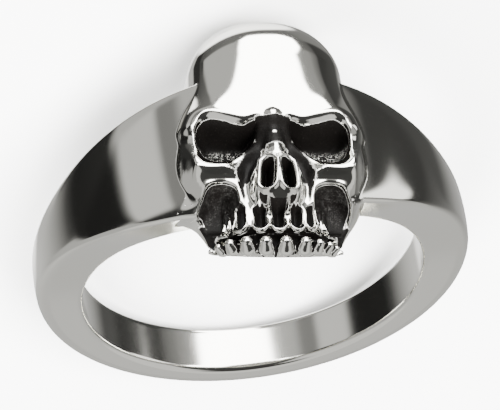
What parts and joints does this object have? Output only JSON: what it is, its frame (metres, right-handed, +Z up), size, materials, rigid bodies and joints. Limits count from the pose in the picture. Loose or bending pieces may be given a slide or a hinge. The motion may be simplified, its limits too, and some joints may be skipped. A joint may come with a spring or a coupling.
{
  "type": "skull ring",
  "caption": "Solid cast finger ring with a raised skull on the front and a band that widens towards it, lying on its side.",
  "frame": {"origin": "middle of the ring's outline, at the level of the table that it lies on", "axes": "+Z up; the skull faces -Y with its chin up and its crown on the table; the finger hole leans back from +Z by about 19 degrees"},
  "size_m": [0.0252, 0.0266, 0.0167],
  "materials": {
    "silver": "mirror polished silver with blackened recesses"
  },
  "bodies": {
    "root": {"skull_ring": "silver"}
  },
  "joints": []
}
